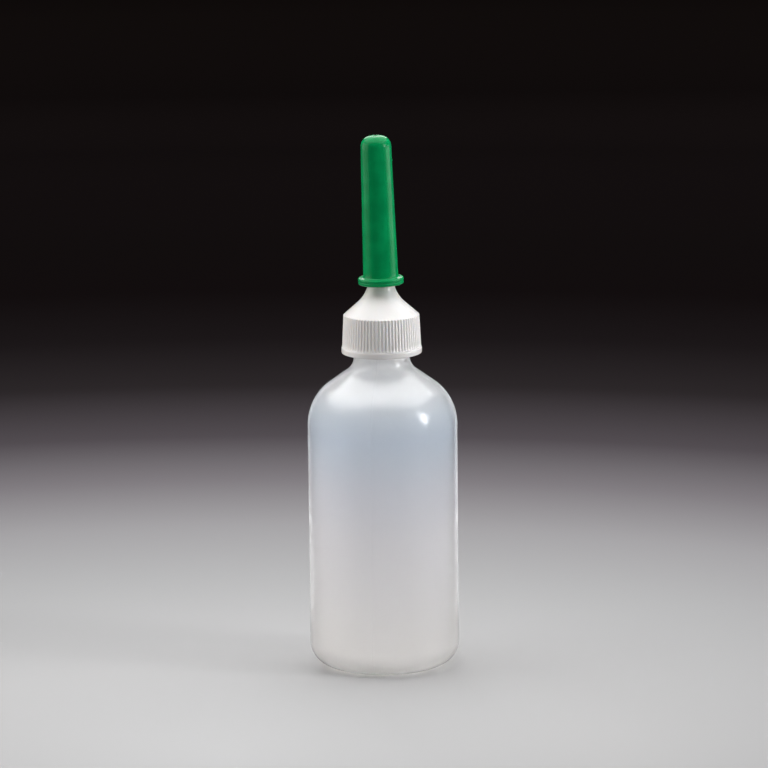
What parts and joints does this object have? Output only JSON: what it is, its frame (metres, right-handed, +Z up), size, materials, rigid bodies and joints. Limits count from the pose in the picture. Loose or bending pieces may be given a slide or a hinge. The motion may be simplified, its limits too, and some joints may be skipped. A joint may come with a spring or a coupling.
{
  "type": "squeeze feeding bottle",
  "caption": "Small translucent squeeze bottle with a ribbed screw cap whose cone carries a spout, and a slip-on green feeding teat.",
  "frame": {"origin": "centre of the flat ring that the bottle stands on", "axes": "+Z up along the bottle's axis; +X to the right and +Y away from someone who faces the front, so the teat leans slightly towards -X"},
  "size_m": [0.061, 0.061, 0.218],
  "materials": {
    "bottle": "frosted natural polyethylene, translucent",
    "liner": "closed-cell foam with a smooth skin",
    "cap": "moulded white, soft gloss",
    "teat": "satin green"
  },
  "bodies": {
    "bottle": {"bottle": "bottle"},
    "liner": {"liner": "liner"},
    "cap": {"cap": "cap"},
    "teat": {"teat": "teat"}
  },
  "joints": [
    {"name": "cap_rise", "type": "slide", "parent": "bottle", "child": "liner", "axis": [0, 0, 1], "range_m": [0, 0.00706]},
    {"name": "cap_turn", "type": "hinge", "parent": "liner", "child": "cap", "pos_m": [0, 0, 0.1437], "axis": [0, 0, 1], "range_deg": [0, 600]},
    {"name": "teat_pull", "type": "slide", "parent": "cap", "child": "teat", "axis": [-0.0262, 0, 0.9997], "range_m": [0, 0.022]}
  ],
  "couplings": [
    {"joint": "cap_rise", "follows": "cap_turn", "m_per_rad": 0.00067375}
  ]
}
